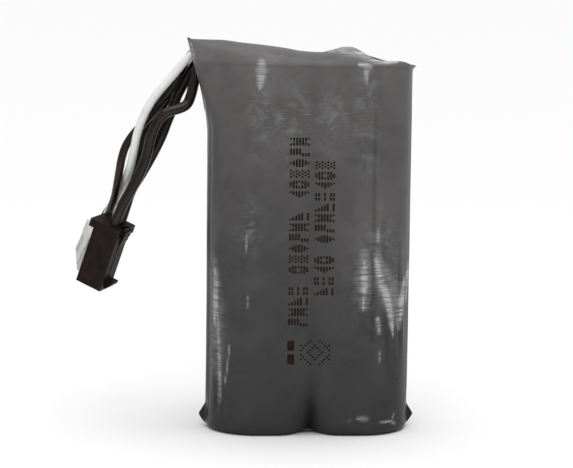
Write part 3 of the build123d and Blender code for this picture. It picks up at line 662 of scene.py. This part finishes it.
def front_surface(x, z):
    """Depth y of the film's front at a place inside the printed area."""
    v = (z - BASE_FILLET) / (WALL_TOP - BASE_FILLET)
    return film_point(np.array([x]), np.array([v]))[0, 1]


def dot(bm, x, z):
    """One low dome of ink, sunk a little into the film's surface."""
    y = front_surface(x, z)
    rings = []
    for share, lift in ((1.0, -0.05), (0.92, 0.55 * INK_LIFT), (0.55, INK_LIFT)):
        ring = []
        for k in range(8):
            angle = 2 * math.pi * (k + 0.5) / 8
            ring.append(bm.verts.new(((x + DOT_R * share * math.cos(angle)) * MM, (y - lift) * MM,
                                      (z + DOT_R * share * math.sin(angle)) * MM)))
        rings.append(ring)
    for lower, upper in zip(rings, rings[1:]):
        for k in range(8):
            bm.faces.new((lower[k], lower[(k + 1) % 8], upper[(k + 1) % 8], upper[k]))
    bm.faces.new(rings[-1])
    bm.faces.new(rings[0][::-1])


COLUMN_MARKS = [
    # left edge x, top z, bottom z, number of marks, which places stay blank
    (-4.1, 54.5, 19.8, 18, (6, 13)),
    (0.5, 50.3, 25.5, 13, (8,)),
]
MARK_W = 3.6
BADGE_X, BADGE_Z, BADGE_STEP = 0.9, 15.5, 0.43
ink = bmesh.new()
for left, top, bottom, number, blank in COLUMN_MARKS:
    pitch = (top - bottom) / number
    for index in range(number):
        if index in blank:
            continue
        glyph = GLYPHS[(index * 7 + (3 if left < 0 else 0)) % len(GLYPHS)]
        for across, line in enumerate(glyph):
            for down, mark in enumerate(line):
                if mark == "#":
                    dot(ink, left + DOT_R + across * (MARK_W - 2 * DOT_R) / 6,
                        top - DOT_R - index * pitch - down * (pitch * 0.78 - 2 * DOT_R) / 4)
# a diamond badge of dots, and two short bars beside it
for across in range(13):
    for down in range(11):
        dx, dz = across - 6, down - 5
        ring = abs(abs(dx) + abs(dz) - 7) < 1 or abs(abs(dx) + abs(dz) - 3) < 1
        if ring or (dx % 3 == 0 and dz % 3 == 0 and abs(dx) + abs(dz) > 8):
            dot(ink, BADGE_X + dx * BADGE_STEP, BADGE_Z - dz * BADGE_STEP)
for low, high in ((13.3, 15.2), (15.8, 17.7)):
    for step in range(12):
        for x in (-3.95, -3.73, -3.51, -3.29, -3.07):
            dot(ink, x, low + DOT_R + (high - low - 2 * DOT_R) * step / 11)
ink_mesh = bpy.data.meshes.new("printed_marks")
ink.to_mesh(ink_mesh)
ink.free()
ink_look = moulded("printing_ink", DARK_INK, 0.6, 7000, 0.3, Specular_IOR_Level=0.12)
new_object("printed_marks", ink_mesh, ink_look)

# ---- floor and light -----------------------------------------------------------------------
WORLD_STRENGTH = 0.42
SUN_STRENGTH, SUN_ANGLE = 2.05, math.radians(70)
floor_mesh = bpy.data.meshes.new("floor")
floor_mesh.from_pydata([(-3, -3, 0), (3, -3, 0), (3, 3, 0), (-3, 3, 0)], [], [(0, 1, 2, 3)])
floor_look = Nodes("pale_floor", (0.93, 0.93, 0.93), 0.9)
floor_mesh.materials.append(floor_look.material)
floor = bpy.data.objects.new("floor", floor_mesh)
scene.collection.objects.link(floor)

world = bpy.data.worlds.new("studio")
world.use_nodes = True
world.node_tree.nodes["Background"].inputs["Color"].default_value = (1.0, 1.0, 1.0, 1)
world.node_tree.nodes["Background"].inputs["Strength"].default_value = WORLD_STRENGTH
scene.world = world


def softbox(name, place, aim, width, height, power):
    light = bpy.data.lights.new(name, "AREA")
    light.shape = "RECTANGLE"
    light.size, light.size_y = width * MM, height * MM
    light.energy = power
    holder = bpy.data.objects.new(name, light)
    scene.collection.objects.link(holder)
    holder.location = Vector(place) * MM
    holder.rotation_mode = "QUATERNION"
    holder.rotation_quaternion = (Vector(aim) - Vector(place)).to_track_quat("-Z", "Y")


overhead = bpy.data.lights.new("overhead", "SUN")
overhead.energy = SUN_STRENGTH
overhead.angle = SUN_ANGLE
lamp = bpy.data.objects.new("overhead", overhead)
scene.collection.objects.link(lamp)
softbox("front_top", (-20, -190, 250), (0, 0, 75), 180, 60, 0.16)
